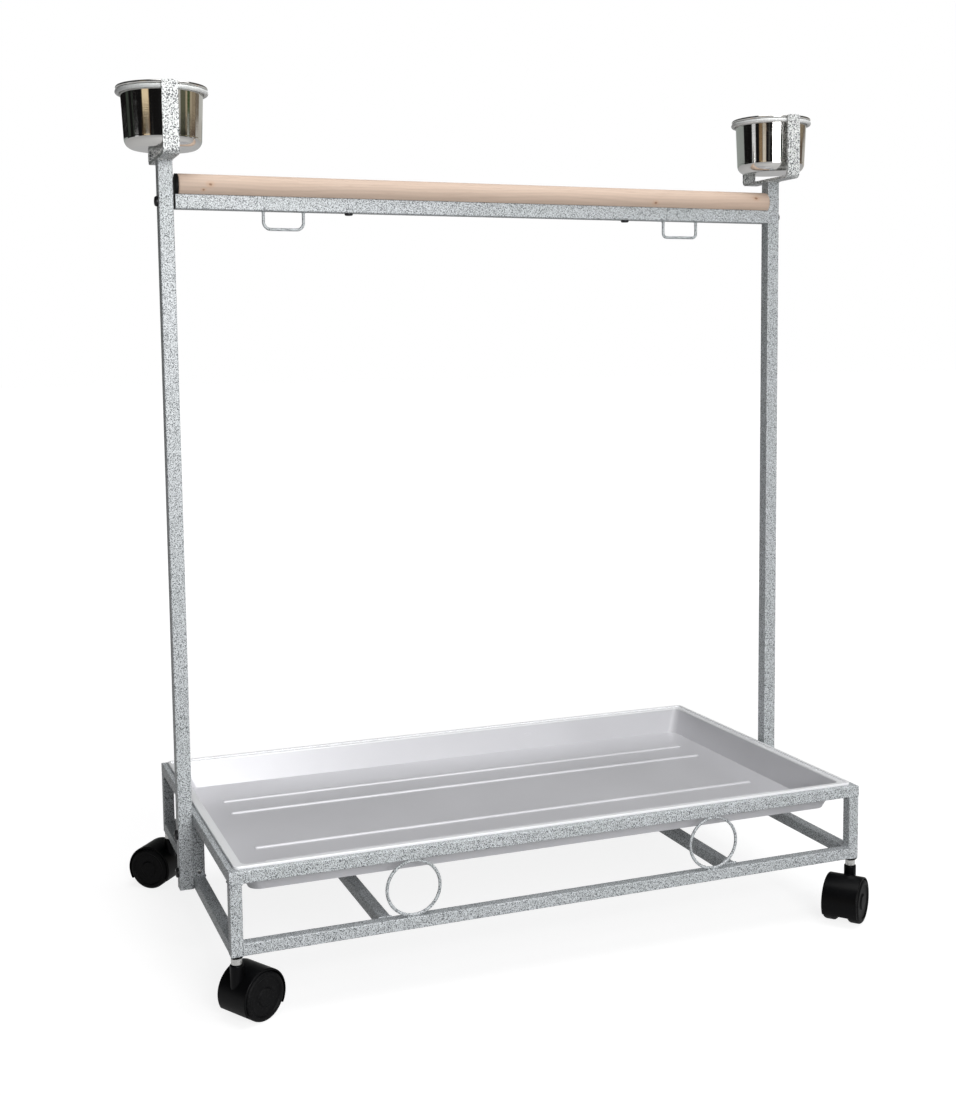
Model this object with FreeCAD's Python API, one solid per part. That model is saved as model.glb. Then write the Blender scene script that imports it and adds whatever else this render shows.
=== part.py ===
"""Parrot play stand: a tray table on four casters, two posts, a wooden perch and two lift-out cups.

Millimetres, +Z up, +Y away from the front.  The origin is on the floor under the middle of the stand.
"""
import FreeCAD, Part
import math
import os

Vec = FreeCAD.Vector
X_AXIS = Vec(1, 0, 0)
Y_AXIS = Vec(0, 1, 0)
Z_AXIS = Vec(0, 0, 1)

# ---- driving dimensions ---------------------------------------------------------------------------
BASE_WIDTH = 700.0           # outside of the base frame along X
BASE_DEPTH = 400.0           # outside of the base frame along Y
BASE_HEIGHT = 82.0           # underside of the bottom rails to the top of the top frame
FRAME_TUBE = 12.0            # square tube of the base frame
POST_TUBE = 15.0             # square tube of the posts and the perch rail
TUBE_WALL = 1.2
TUBE_CORNER = 1.1            # outside corner radius of every tube
POST_LENGTH = 761.0
CROSS_MEMBER_X = 195.0       # middle of each cross member from the middle of the stand

RAIL_DROP = 34.0             # top of the post down to the top of the perch rail
INSERT_LENGTH = 24.0
INSERT_FLANGE = 2.0          # plug flange that shows at the left end of the rail
PERCH_DIAMETER = 24.0
PERCH_HEIGHT = 21.0          # flat underside to the crown
PERCH_CAP = 2.5
PERCH_CAP_GAP = 2.5          # cap to the left post
PERCH_END_ROUND = 1.5

BOLT_DIAMETER = 6.0
BOLT_HEAD_DIAMETER = 10.5
BOLT_HEAD_HEIGHT = 3.2
BOLT_HEAD_ROUND = 2.0
BOLT_HEX = 4.0
BOLT_HEX_DEPTH = 1.8
BOLT_HOLE_PLAY = 0.2         # radial, in a drilled tube wall
THREAD_PLAY = 0.05           # radial, in a nut or an insert
BOLT_END_GAP = 1.5           # bolt tip to the far wall
NUT_DIAMETER = 9.0
NUT_LENGTH = 6.5
STRUT_BOLT_RISE = 5.5        # lower strut bolt above the bottom rail
STRUT_BOLT_SPACING = 41.0
STRUT_HOLE_DIAMETER = 4.5
STRUT_HOLE_RISE = 5.0        # above the bottom rail

SCREW_X = 164.0              # perch screws from the middle
SCREW_DIAMETER = 4.0
SCREW_HEAD_DIAMETER = 9.0
SCREW_HEAD_HEIGHT = 2.4
SCREW_HEAD_ROUND = 1.5
SCREW_DEPTH_IN_WOOD = 12.0

LOOP_X = 235.0
LOOP_WIDTH = 46.0            # outside of the wire
LOOP_DROP = 20.0
LOOP_WIRE = 3.2
LOOP_BEND_LEFT = 7.6         # bend radius on the middle of the wire
LOOP_BEND_RIGHT = 4.6

RING_X = 168.0
RING_WIRE = 3.2
RING_SETBACK = 3.0           # middle of the wire behind the front face of the base

CUP_TOP_DIAMETER = 82.5
CUP_BOTTOM_DIAMETER = 78.0
CUP_HEIGHT = 62.0
CUP_WALL = 1.0
CUP_CORNER = 10.0
CUP_RIM_ROLL = 3.2           # thickness of the rolled edge
CUP_SEAT_GAP = 0.2
CUP_RIM_GAP = 0.6            # rim to the strap
HOLDER_WIRE = 4.5
HOLDER_PLAY = 0.6            # cup wall to the inside of the wire, radial
STRAP_WIDTH = 16.0
STRAP_THICKNESS = 3.0
STRAP_BEND = 3.0             # inside radius
STRAP_HEIGHT = 72.0
STRAP_END_ROUND = 2.0

TRAY_THICKNESS = 1.2
TRAY_RIM_OVERLAP = 6.0       # rim over the top frame
TRAY_PLAY = 2.0              # wall to the inside of the top frame
TRAY_HEM_WIDTH = 3.2         # outer edge of the rim, folded double
TRAY_HEM_THICKNESS = 2.6
TRAY_HEM_ROUND = 0.8
TRAY_DEPTH = 30.0
TRAY_SLOPE = 11.0            # inward run of each wall
TRAY_RIM_CORNER = 5.0
TRAY_WALL_CORNER = 8.0
TRAY_FLOOR_CORNER = 12.0
TRAY_SEAT_GAP = 0.2
BEAD_WIDTH = 7.0
BEAD_HEIGHT = 1.8
BEAD_END = 28.0              # bead tip to the edge of the tray floor
BEAD_SPACING = 45.0          # between the two beads of a pair
BEAD_PAIR_OFFSET = 84.0      # middle of a pair from the middle of the tray

CASTER_HEIGHT = 66.0
WHEEL_DIAMETER = 48.0
WHEEL_WIDTH = 14.0
WHEEL_EDGE_ROUND = 3.5
WHEEL_FACE_RECESS = 1.4
WHEEL_FACE_OUTER = 18.0
WHEEL_FACE_INNER = 8.0
WHEEL_WEB = 2.5              # closed end of the wheel bore
CASTER_TRAIL = 18.0
FORK_THICKNESS = 12.0
WHEEL_SIDE_GAP = 0.6
HOOD_GAP = 1.0               # wheel tread to the hood
HOOD_WALL = 1.6
HOOD_SKIRT = 13.0            # lower edge of the hood below the middle of the axle
HOOD_SETBACK = 1.2           # side of the hood inside the face of the wheel
HOOD_EDGE_ROUND = 1.2
BOSS_DIAMETER = 13.0
BOSS_RISE = 7.0              # above the crown of the hood
BOSS_ROUND = 1.5
AXLE_DIAMETER = 6.0
AXLE_PLAY = 0.05
AXLE_PRESS_PLAY = 0.02
STEM_DIAMETER = 8.0
STEM_PLAY = 0.05
STEM_RISE = 20.0             # stem inside the leg
STEM_GRIP = 24.0             # stem inside the hood
COLLAR_DIAMETER = 10.5
COLLAR_GAP = 0.3
LEG_PLUG_LENGTH = 18.0
PLUG_FLANGE = 2.5            # flange of the leg plug, under the leg
PLUG_FLANGE_TAPER = 1.6      # narrower at its underside by this much all round
CUT_OVER = 1.0               # how far a cut passes the face that it opens
CASTER_TURN = {"front_left": 30.0, "front_right": 219.0, "rear_left": 141.0, "rear_right": 330.0}

# ---- places worked out from them ------------------------------------------------------------------
HALF_X = BASE_WIDTH / 2
HALF_Y = BASE_DEPTH / 2
BASE_BOTTOM = CASTER_HEIGHT
BASE_TOP = BASE_BOTTOM + BASE_HEIGHT
TOP_FRAME_BOTTOM = BASE_TOP - FRAME_TUBE
BOTTOM_RAIL_TOP = BASE_BOTTOM + FRAME_TUBE
LEG_X = HALF_X - FRAME_TUBE / 2
LEG_Y = HALF_Y - FRAME_TUBE / 2
POST_TOP = BASE_BOTTOM + POST_LENGTH
POST_X = HALF_X + POST_TUBE / 2
RAIL_TOP = POST_TOP - RAIL_DROP
RAIL_BOTTOM = RAIL_TOP - POST_TUBE
RAIL_MIDDLE = RAIL_TOP - POST_TUBE / 2
LOWER_BOLT_Z = BOTTOM_RAIL_TOP + STRUT_BOLT_RISE
UPPER_BOLT_Z = LOWER_BOLT_Z + STRUT_BOLT_SPACING
WHEEL_RADIUS = WHEEL_DIAMETER / 2
AXLE_Z = WHEEL_RADIUS
HOOD_RADIUS = WHEEL_RADIUS + HOOD_GAP + HOOD_WALL
BOSS_TOP = AXLE_Z + HOOD_RADIUS + BOSS_RISE
COLLAR_LOW = BOSS_TOP + COLLAR_GAP
COLLAR_TOP = BASE_BOTTOM - PLUG_FLANGE
AXLE_REACH = FORK_THICKNESS / 2 + WHEEL_WIDTH - WHEEL_WEB    # half the length of an axle
SIDES = {"left": -1, "right": 1}
FRAME_SIDES = {              # turn about Z from the front, half the length, distance from the middle
    "front": (0.0, HALF_X, HALF_Y),
    "right": (90.0, HALF_Y, HALF_X),
    "rear": (180.0, HALF_X, HALF_Y),
    "left": (270.0, HALF_Y, HALF_X),
}
CORNERS = {
    "front_left": (-1, -1),
    "front_right": (1, -1),
    "rear_left": (-1, 1),
    "rear_right": (1, 1),
}


# ---- shared shapes --------------------------------------------------------------------------------
def box(x0, x1, y0, y1, z0, z1):
    """A block between two corners."""
    return Part.makeBox(x1 - x0, y1 - y0, z1 - z0, Vec(x0, y0, z0))


def cylinder(radius, start, end):
    """A round bar from one point to another."""
    run = end - start
    return Part.makeCylinder(radius, run.Length, start, run)


def rounded_rectangle(width, depth, corner, z=0.0):
    """A closed wire about the Z axis with four corner arcs."""
    hx = width / 2
    hy = depth / 2
    inset = corner * (1 - math.sqrt(0.5))
    edges = []
    for turn, (a, b) in enumerate([(hx, hy), (hy, hx), (hx, hy), (hy, hx)]):
        spin = FreeCAD.Rotation(Z_AXIS, 90.0 * turn)
        points = [
            Vec(a, -b + corner, z),
            Vec(a, b - corner, z),
            Vec(a - inset, b - inset, z),
            Vec(a - corner, b, z),
        ]
        start, side_end, middle, end = [spin.multVec(point) for point in points]
        edges.append(Part.LineSegment(start, side_end).toShape())
        edges.append(Part.Arc(side_end, middle, end).toShape())
    return Part.Wire(edges)


def rounded_block(width, depth, corner, z0, z1):
    """An upright block with rounded upright edges, about the Z axis."""
    face = Part.Face(rounded_rectangle(width, depth, corner, z0))
    return face.extrude(Vec(0, 0, z1 - z0))


def square_tube(size, start, end):
    """A square tube from one point to another, along X, Y or Z."""
    run = end - start
    outside = rounded_block(size, size, TUBE_CORNER, 0.0, run.Length)
    inside_size = size - 2 * TUBE_WALL
    inside = box(-inside_size / 2, inside_size / 2, -inside_size / 2, inside_size / 2, 0.0, run.Length)
    tube = outside.cut(inside)
    tube.Placement = FreeCAD.Placement(start, FreeCAD.Rotation(Z_AXIS, run))
    return tube


def domed_head(diameter, height, crown_round, seat, outward):
    """A round head on a seat, with its outer edge rounded over."""
    crown = seat + outward * height
    head = cylinder(diameter / 2, seat, crown)
    rims = [edge for edge in head.Edges if edge.isClosed()]
    outer_rim = min(rims, key=lambda edge: (edge.CenterOfMass - crown).Length)
    return head.makeFillet(crown_round, [outer_rim])


def group(solids):
    """Separate solids of one node."""
    return solids[0] if len(solids) == 1 else Part.makeCompound(solids)


def mirrored_x(shape):
    """The same shape on the other side of the YZ plane."""
    return shape.mirror(Vec(0, 0, 0), X_AXIS)


# ---- base frame -----------------------------------------------------------------------------------
def mitred_top_rail(half_length, offset):
    """The front tube of the top frame, cut at 45 degrees where it meets its neighbours."""
    z = TOP_FRAME_BOTTOM + FRAME_TUBE / 2
    y = FRAME_TUBE / 2 - offset
    tube = square_tube(FRAME_TUBE, Vec(-half_length, y, z), Vec(half_length, y, z))
    inner_half = half_length - FRAME_TUBE
    plan = [
        Vec(-half_length, -offset, TOP_FRAME_BOTTOM),
        Vec(half_length, -offset, TOP_FRAME_BOTTOM),
        Vec(inner_half, FRAME_TUBE - offset, TOP_FRAME_BOTTOM),
        Vec(-inner_half, FRAME_TUBE - offset, TOP_FRAME_BOTTOM),
    ]
    mitre = Part.Face(Part.makePolygon(plan + [plan[0]])).extrude(Vec(0, 0, FRAME_TUBE))
    return tube.common(mitre)


def bottom_rail(half_length, offset):
    """The front tube at the bottom, between two legs."""
    z = BASE_BOTTOM + FRAME_TUBE / 2
    y = FRAME_TUBE / 2 - offset
    end = half_length - FRAME_TUBE
    return square_tube(FRAME_TUBE, Vec(-end, y, z), Vec(end, y, z))


def base_frame(nodes):
    """Legs, bottom rails, mitred top frame, struts and cross members."""
    for corner, (sx, sy) in CORNERS.items():
        foot = Vec(sx * LEG_X, sy * LEG_Y, BASE_BOTTOM)
        nodes["base_leg_" + corner] = square_tube(FRAME_TUBE, foot, Vec(foot.x, foot.y, TOP_FRAME_BOTTOM))
    for name, (turn, half_length, offset) in FRAME_SIDES.items():
        nodes["bottom_rail_" + name] = bottom_rail(half_length, offset).rotated(Vec(0, 0, 0), Z_AXIS, turn)
        nodes["top_rail_" + name] = mitred_top_rail(half_length, offset).rotated(Vec(0, 0, 0), Z_AXIS, turn)
    rail_z = BASE_BOTTOM + FRAME_TUBE / 2
    inner_y = HALF_Y - FRAME_TUBE
    for name, side in SIDES.items():
        x = side * CROSS_MEMBER_X
        ends = Vec(x, -inner_y, rail_z), Vec(x, inner_y, rail_z)
        nodes["cross_member_" + name] = square_tube(FRAME_TUBE, *ends)
        nodes["post_strut_" + name] = post_strut(side)


def post_strut(side):
    """Short upright behind each post, drilled for two post bolts and once in its front wall."""
    x = side * LEG_X
    strut = square_tube(FRAME_TUBE, Vec(x, 0, BOTTOM_RAIL_TOP), Vec(x, 0, TOP_FRAME_BOTTOM))
    for z in (LOWER_BOLT_Z, UPPER_BOLT_Z):
        outside = Vec(side * (HALF_X + CUT_OVER), 0, z)
        strut = strut.cut(cylinder(BOLT_DIAMETER / 2 + BOLT_HOLE_PLAY, outside, Vec(x, 0, z)))
    hole_z = BOTTOM_RAIL_TOP + STRUT_HOLE_RISE
    front_hole = cylinder(STRUT_HOLE_DIAMETER / 2, Vec(x, -FRAME_TUBE, hole_z), Vec(x, 0, hole_z))
    return strut.cut(front_hole)


# ---- posts, perch rail and their fasteners --------------------------------------------------------
def bolt_heights():
    """The three bolts in each post, from the bottom up."""
    return [LOWER_BOLT_Z, UPPER_BOLT_Z, RAIL_MIDDLE]


def post(side):
    """Upright tube outside the base frame, drilled through for its three bolts."""
    x = side * POST_X
    tube = square_tube(POST_TUBE, Vec(x, 0, BASE_BOTTOM), Vec(x, 0, POST_TOP))
    for z in bolt_heights():
        ends = Vec(x - POST_TUBE, 0, z), Vec(x + POST_TUBE, 0, z)
        tube = tube.cut(cylinder(BOLT_DIAMETER / 2 + BOLT_HOLE_PLAY, *ends))
    return tube


def button_bolt(side, z, tip_x):
    """Button-head bolt with a hexagon socket, its head on the outside of the post."""
    hex_corner = BOLT_HEX / math.sqrt(3)
    seat = Vec(HALF_X + POST_TUBE, 0, z)
    head = domed_head(BOLT_HEAD_DIAMETER, BOLT_HEAD_HEIGHT, BOLT_HEAD_ROUND, seat, X_AXIS)
    hexagon = Part.makePolygon([
        seat + Vec(BOLT_HEAD_HEIGHT, hex_corner * math.cos(turn), hex_corner * math.sin(turn))
        for turn in (math.radians(60 * step) for step in range(7))
    ])
    socket = Part.Face(hexagon).extrude(Vec(-BOLT_HEX_DEPTH, 0, 0))
    shank = cylinder(BOLT_DIAMETER / 2, seat, Vec(tip_x, 0, z))
    bolt = head.fuse(shank).cut(socket)
    return bolt if side > 0 else mirrored_x(bolt)


def post_fasteners(nodes):
    """Bolts through the posts, and the nuts held in the base frame."""
    frame_tip = HALF_X - FRAME_TUBE + TUBE_WALL + BOLT_END_GAP
    tips = [frame_tip, frame_tip, HALF_X - INSERT_LENGTH + BOLT_END_GAP]
    nuts = []
    for name, side in SIDES.items():
        bolts = [button_bolt(side, z, tip) for z, tip in zip(bolt_heights(), tips)]
        nodes["post_bolts_" + name] = group(bolts)
        for z in (LOWER_BOLT_Z, UPPER_BOLT_Z):
            start = side * (HALF_X - TUBE_WALL)
            end = side * (HALF_X - TUBE_WALL - NUT_LENGTH)
            nut = cylinder(NUT_DIAMETER / 2, Vec(start, 0, z), Vec(end, 0, z))
            bore = cylinder(BOLT_DIAMETER / 2 + THREAD_PLAY, Vec(start, 0, z), Vec(end, 0, z))
            nuts.append(nut.cut(bore))
    nodes["frame_nuts"] = group(nuts)


def perch_rail():
    """Square tube between the posts, under the perch."""
    start = Vec(-HALF_X + INSERT_FLANGE, 0, RAIL_MIDDLE)
    rail = square_tube(POST_TUBE, start, Vec(HALF_X, 0, RAIL_MIDDLE))
    for side in SIDES.values():
        x = side * SCREW_X
        radius = SCREW_DIAMETER / 2 + THREAD_PLAY
        drill = cylinder(radius, Vec(x, 0, RAIL_BOTTOM - CUT_OVER), Vec(x, 0, RAIL_TOP + CUT_OVER))
        rail = rail.cut(drill)
    return rail


def rail_insert(side):
    """Threaded plug in the end of the rail; the left one has a flange that shows."""
    half = POST_TUBE / 2 - TUBE_WALL
    flange_half = POST_TUBE / 2 if side < 0 else half
    inner_end = HALF_X - INSERT_LENGTH
    flange = HALF_X - INSERT_FLANGE
    z = RAIL_MIDDLE
    plug = box(inner_end, flange, -half, half, z - half, z + half)
    plug = plug.fuse(box(flange, HALF_X, -flange_half, flange_half, z - flange_half, z + flange_half))
    bore = cylinder(BOLT_DIAMETER / 2 + THREAD_PLAY, Vec(inner_end, 0, z), Vec(HALF_X, 0, z))
    plug = plug.cut(bore).removeSplitter()
    return plug if side > 0 else mirrored_x(plug)


def dowel_with_flat(x0, x1, end_round=0.0):
    """Round bar along X, planed flat underneath so that it seats on the rail."""
    radius = PERCH_DIAMETER / 2
    middle = RAIL_TOP + PERCH_HEIGHT - radius
    bar = cylinder(radius, Vec(x0, 0, middle), Vec(x1, 0, middle))
    if end_round:
        bar = bar.makeFillet(end_round, [edge for edge in bar.Edges if edge.isClosed()])
    waste = box(x0 - CUT_OVER, x1 + CUT_OVER, -radius, radius, middle - PERCH_DIAMETER, RAIL_TOP)
    return bar.cut(waste)


def perch(nodes):
    """Wooden perch, the black cap on its left end and the two screws from below."""
    wood_left = -HALF_X + PERCH_CAP_GAP + PERCH_CAP
    wood = dowel_with_flat(wood_left, HALF_X, PERCH_END_ROUND)
    screws = []
    for side in SIDES.values():
        x = side * SCREW_X
        tip = RAIL_TOP + SCREW_DEPTH_IN_WOOD
        wood = wood.cut(cylinder(SCREW_DIAMETER / 2, Vec(x, 0, RAIL_TOP - CUT_OVER), Vec(x, 0, tip)))
        seat = Vec(x, 0, RAIL_BOTTOM)
        head = domed_head(SCREW_HEAD_DIAMETER, SCREW_HEAD_HEIGHT, SCREW_HEAD_ROUND, seat, -Z_AXIS)
        screws.append(head.fuse(cylinder(SCREW_DIAMETER / 2, seat, Vec(x, 0, tip))))
    nodes["perch_dowel"] = wood
    nodes["perch_end_cap"] = dowel_with_flat(wood_left - PERCH_CAP, wood_left)
    nodes["perch_screws"] = group(screws)


# ---- wire fittings --------------------------------------------------------------------------------
def toy_loop(x, bend):
    """U of wire under the rail, for hanging a toy."""
    half = (LOOP_WIDTH - LOOP_WIRE) / 2
    low = RAIL_BOTTOM - LOOP_DROP + LOOP_WIRE / 2
    inset = bend * (1 - math.sqrt(0.5))

    def corner(side):
        """From the upright leg round to the bottom."""
        return [
            Vec(x + side * half, 0, low + bend),
            Vec(x + side * (half - inset), 0, low + inset),
            Vec(x + side * (half - bend), 0, low),
        ]

    left = corner(-1)
    right = corner(1)
    top_left = Vec(x - half, 0, RAIL_BOTTOM)
    path = Part.Wire([
        Part.LineSegment(top_left, left[0]).toShape(),
        Part.Arc(*left).toShape(),
        Part.LineSegment(left[2], right[2]).toShape(),
        Part.Arc(*reversed(right)).toShape(),
        Part.LineSegment(right[0], Vec(x + half, 0, RAIL_BOTTOM)).toShape(),
    ])
    section = Part.Wire(Part.Circle(top_left, Z_AXIS, LOOP_WIRE / 2).toShape())
    return path.makePipeShell([section], True, False)


def front_ring(x):
    """Ring of wire that fills the height between the two front rails."""
    outer = (TOP_FRAME_BOTTOM - BOTTOM_RAIL_TOP) / 2
    middle = Vec(x, -HALF_Y + RING_SETBACK, BOTTOM_RAIL_TOP + outer)
    return Part.makeTorus(outer - RING_WIRE / 2, RING_WIRE / 2, middle, Y_AXIS)


# ---- cups and their holders -----------------------------------------------------------------------
STRAP_TOP = POST_TOP + STRAP_HEIGHT
CUP_RIM_UNDER = STRAP_TOP - CUP_RIM_ROLL
HOLDER_RADIUS = CUP_TOP_DIAMETER / 2 + HOLDER_PLAY + HOLDER_WIRE / 2
HOLDER_Z = CUP_RIM_UNDER - CUP_SEAT_GAP - HOLDER_WIRE / 2
STRAP_INSIDE = HOLDER_RADIUS + HOLDER_WIRE / 2


def bar_block(x, half, low, bend):
    """A block as wide as the strap, up to its top, with its two lower edges along X rounded."""
    block = box(x - STRAP_WIDTH / 2, x + STRAP_WIDTH / 2, -half, half, low, STRAP_TOP)
    low_edges = [edge for edge in block.Edges if edge.BoundBox.ZMax < low + bend and runs_along_x(edge)]
    return block.makeFillet(bend, low_edges)


def runs_along_x(edge):
    return edge.BoundBox.XLength > edge.BoundBox.YLength


def cup_strap(x):
    """Flat bar bent into a U across the top of the post, with the corners of its ends rounded."""
    outside = bar_block(x, STRAP_INSIDE + STRAP_THICKNESS, POST_TOP, STRAP_BEND + STRAP_THICKNESS)
    strap = outside.cut(bar_block(x, STRAP_INSIDE, POST_TOP + STRAP_THICKNESS, STRAP_BEND))
    top_edges = [edge for edge in strap.Edges if edge.BoundBox.ZMin > STRAP_TOP - STRAP_THICKNESS]
    return strap.makeFillet(STRAP_END_ROUND, [edge for edge in top_edges if not runs_along_x(edge)])


def cup_ring(x):
    """Ring of wire welded inside the strap, under the rim of the cup."""
    return Part.makeTorus(HOLDER_RADIUS, HOLDER_WIRE / 2, Vec(x, 0, HOLDER_Z))


def cup(x):
    """Pressed steel cup with a rolled rim."""
    top = STRAP_TOP
    bottom = top - CUP_HEIGHT
    r_top = CUP_TOP_DIAMETER / 2
    r_low = CUP_BOTTOM_DIAMETER / 2
    r_rim = STRAP_INSIDE - CUP_RIM_GAP
    c = CUP_CORNER
    w = CUP_WALL
    roll = CUP_RIM_ROLL / 2
    slope = math.atan2(r_top - r_low, CUP_RIM_UNDER - bottom - c)
    corner = Vec(r_low - c, 0, bottom + c)

    def on_corner(radius, angle):
        return corner + Vec(radius * math.cos(angle), 0, -radius * math.sin(angle))

    middle = math.pi / 4
    end = -slope
    outside = [
        Part.LineSegment(Vec(0, 0, bottom), on_corner(c, math.pi / 2)).toShape(),
        Part.Arc(on_corner(c, math.pi / 2), on_corner(c, middle), on_corner(c, end)).toShape(),
        Part.LineSegment(on_corner(c, end), Vec(r_top, 0, CUP_RIM_UNDER)).toShape(),
        Part.LineSegment(Vec(r_top, 0, CUP_RIM_UNDER), Vec(r_rim - roll, 0, CUP_RIM_UNDER)).toShape(),
        Part.Arc(
            Vec(r_rim - roll, 0, CUP_RIM_UNDER),
            Vec(r_rim, 0, CUP_RIM_UNDER + roll),
            Vec(r_rim - roll, 0, top),
        ).toShape(),
    ]
    lip = Vec(r_top - w + roll, 0, top)
    lip_low = Vec(r_top - w, 0, top - roll)
    lip_middle = Vec(r_top - w + roll * (1 - math.sqrt(0.5)), 0, top - roll * (1 - math.sqrt(0.5)))
    inside = [
        Part.LineSegment(Vec(r_rim - roll, 0, top), lip).toShape(),
        Part.Arc(lip, lip_middle, lip_low).toShape(),
        Part.LineSegment(lip_low, on_corner(c - w, end)).toShape(),
        Part.Arc(on_corner(c - w, end), on_corner(c - w, middle), on_corner(c - w, math.pi / 2)).toShape(),
        Part.LineSegment(on_corner(c - w, math.pi / 2), Vec(0, 0, bottom + w)).toShape(),
        Part.LineSegment(Vec(0, 0, bottom + w), Vec(0, 0, bottom)).toShape(),
    ]
    solid = Part.Face(Part.Wire(outside + inside)).revolve(Vec(0, 0, 0), Z_AXIS, 360)
    solid.translate(Vec(x, 0, 0))
    return solid


# ---- tray -----------------------------------------------------------------------------------------
def tray():
    """Drop-in tray with sloped walls, a flat rim with a folded edge, and four pressed beads."""
    t = TRAY_THICKNESS
    rim_z = BASE_TOP + TRAY_SEAT_GAP
    floor_z = rim_z + t - TRAY_DEPTH
    inset = FRAME_TUBE - TRAY_RIM_OVERLAP
    wall_inset = FRAME_TUBE + TRAY_PLAY
    rim_x, rim_y = BASE_WIDTH - 2 * inset, BASE_DEPTH - 2 * inset
    top_x, top_y = BASE_WIDTH - 2 * wall_inset, BASE_DEPTH - 2 * wall_inset
    low_x, low_y = top_x - 2 * TRAY_SLOPE, top_y - 2 * TRAY_SLOPE

    def basin(shrink, z_top, z_low):
        upper = rounded_rectangle(top_x - shrink, top_y - shrink, TRAY_WALL_CORNER - shrink / 2, z_top)
        lower = rounded_rectangle(low_x - shrink, low_y - shrink, TRAY_FLOOR_CORNER - shrink / 2, z_low)
        return Part.makeLoft([lower, upper], True, True)

    hem_z = rim_z + TRAY_HEM_THICKNESS
    rim = rounded_block(rim_x, rim_y, TRAY_RIM_CORNER, rim_z, hem_z)
    rim = rim.makeFillet(TRAY_HEM_ROUND, [edge for edge in rim.Edges if edge.BoundBox.ZMin > rim_z + t])
    hem = 2 * TRAY_HEM_WIDTH
    rim = rim.cut(rounded_block(rim_x - hem, rim_y - hem, TRAY_RIM_CORNER - TRAY_HEM_WIDTH, rim_z + t, hem_z))
    outside = rim.fuse(basin(0.0, rim_z + t, floor_z))
    shell = outside.cut(basin(2 * t, rim_z + t, floor_z + t))
    for bead_y in bead_places():
        raised, groove = bead(bead_y, low_x / 2 - BEAD_END, floor_z + t)
        shell = shell.fuse(raised).cut(groove)
    return shell.removeSplitter()


def bead_places():
    """Middles of the four beads along Y."""
    places = []
    for pair in (-BEAD_PAIR_OFFSET, BEAD_PAIR_OFFSET):
        places += [pair - BEAD_SPACING / 2, pair + BEAD_SPACING / 2]
    return places


def bead(y, half_length, floor_top):
    """A pressed bead: the raised capsule, and the smaller one that hollows its underside."""
    radius = (BEAD_WIDTH ** 2 / 4 + BEAD_HEIGHT ** 2) / (2 * BEAD_HEIGHT)
    middle_z = floor_top + BEAD_HEIGHT - radius
    tip = half_length - BEAD_WIDTH / 2
    parts = []
    for r in (radius, radius - TRAY_THICKNESS):
        start, end = Vec(-tip, y, middle_z), Vec(tip, y, middle_z)
        capsule = cylinder(r, start, end).fuse(Part.makeSphere(r, start)).fuse(Part.makeSphere(r, end))
        parts.append(capsule)
    keep = floor_top - TRAY_THICKNESS / 2
    reach = radius + CUT_OVER
    above = box(-tip - reach, tip + reach, y - reach, y + reach, keep, floor_top + radius)
    return parts[0].common(above), parts[1]


# ---- casters --------------------------------------------------------------------------------------
def caster_place(corner):
    """Where a caster stands and how far it is turned about its stem."""
    sx, sy = CORNERS[corner]
    spin = FreeCAD.Rotation(Z_AXIS, CASTER_TURN[corner])
    return FreeCAD.Placement(Vec(sx * LEG_X, sy * LEG_Y, 0), spin)


def caster_stem():
    """Stem with its collar: the lower end turns in the hood, the upper end screws into the leg plug."""
    low = Vec(0, 0, COLLAR_LOW - STEM_GRIP)
    top = Vec(0, 0, BASE_BOTTOM + STEM_RISE)
    collar = cylinder(COLLAR_DIAMETER / 2, Vec(0, 0, COLLAR_LOW), Vec(0, 0, COLLAR_TOP))
    return cylinder(STEM_DIAMETER / 2, low, top).fuse(collar)


def leg_plug(foot):
    """Threaded plug in the bottom of a leg, with a tapered flange that shows under the tube."""
    half = FRAME_TUBE / 2 - TUBE_WALL
    top = BASE_BOTTOM + LEG_PLUG_LENGTH
    low = COLLAR_TOP
    plug = box(-half, half, -half, half, BASE_BOTTOM, top)
    small = FRAME_TUBE - 2 * PLUG_FLANGE_TAPER
    upper = rounded_rectangle(FRAME_TUBE, FRAME_TUBE, TUBE_CORNER, BASE_BOTTOM)
    lower = rounded_rectangle(small, small, TUBE_CORNER, low)
    flange = Part.makeLoft([lower, upper], True, True)
    bore = cylinder(STEM_DIAMETER / 2 + THREAD_PLAY, Vec(0, 0, low - CUT_OVER), Vec(0, 0, top + CUT_OVER))
    return plug.fuse(flange).cut(bore).translated(Vec(foot.x, foot.y, 0))


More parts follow.
